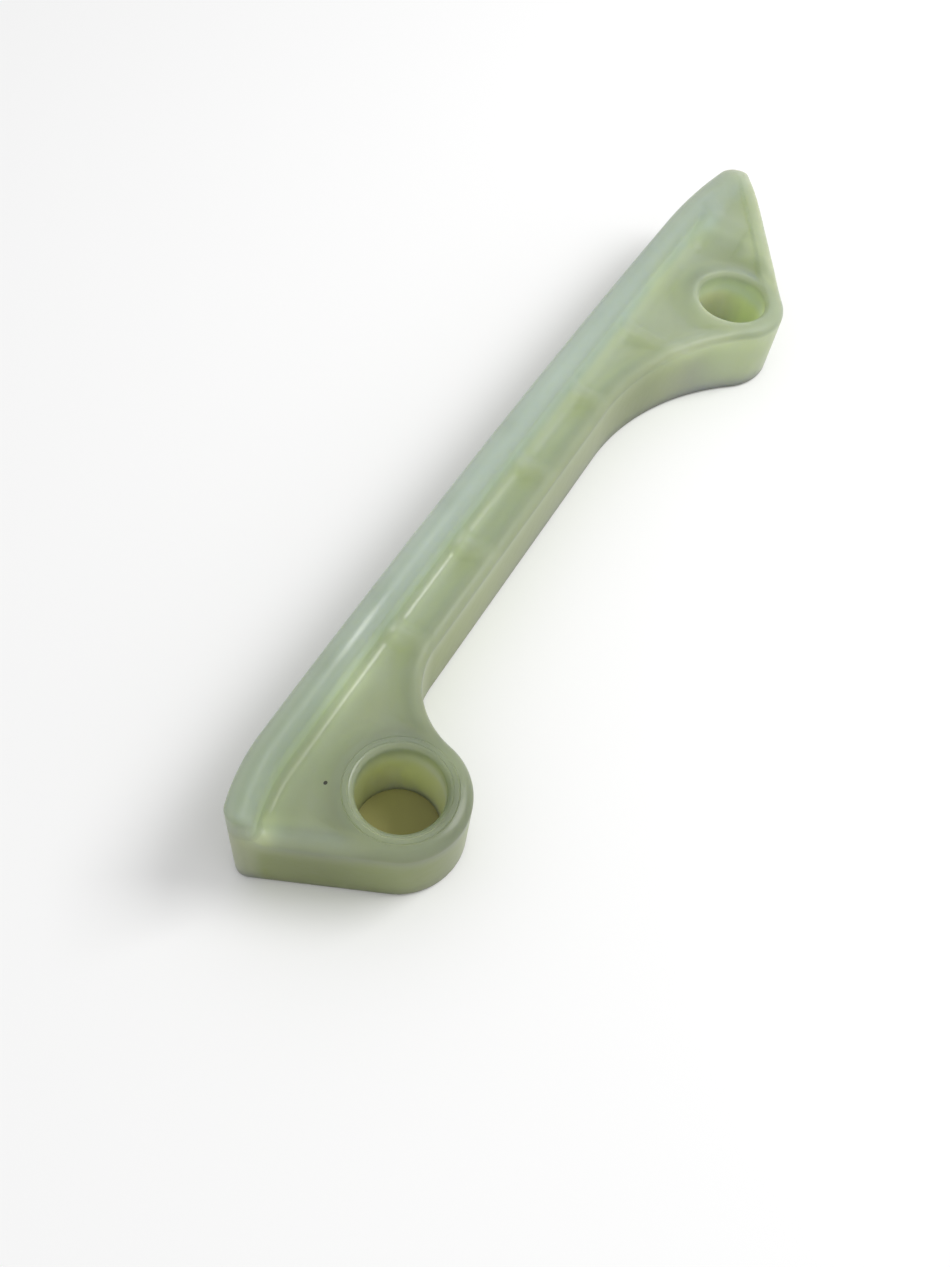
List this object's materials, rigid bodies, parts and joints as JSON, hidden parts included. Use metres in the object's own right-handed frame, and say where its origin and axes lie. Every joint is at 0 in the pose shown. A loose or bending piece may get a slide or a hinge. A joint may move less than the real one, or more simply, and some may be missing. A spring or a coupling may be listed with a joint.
{
  "type": "timing chain guide",
  "caption": "Moulded nylon timing chain guide: a long, gently bowed rail with curved lead-ins, backed by a ribbed bar with a bored mounting boss near each end.",
  "frame": {"origin": "on the axis of the near bore, in the plane of the flat side that bears on the engine", "axes": "+X along the rail from the near bore to the pointed end, +Y to the chain, +Z along the bores away from the flat side"},
  "size_m": [0.1307, 0.0233, 0.0152],
  "materials": {
    "nylon": "as moulded, semi-gloss, translucent natural nylon"
  },
  "bodies": {
    "root": {"chain_guide": "nylon"}
  },
  "joints": []
}
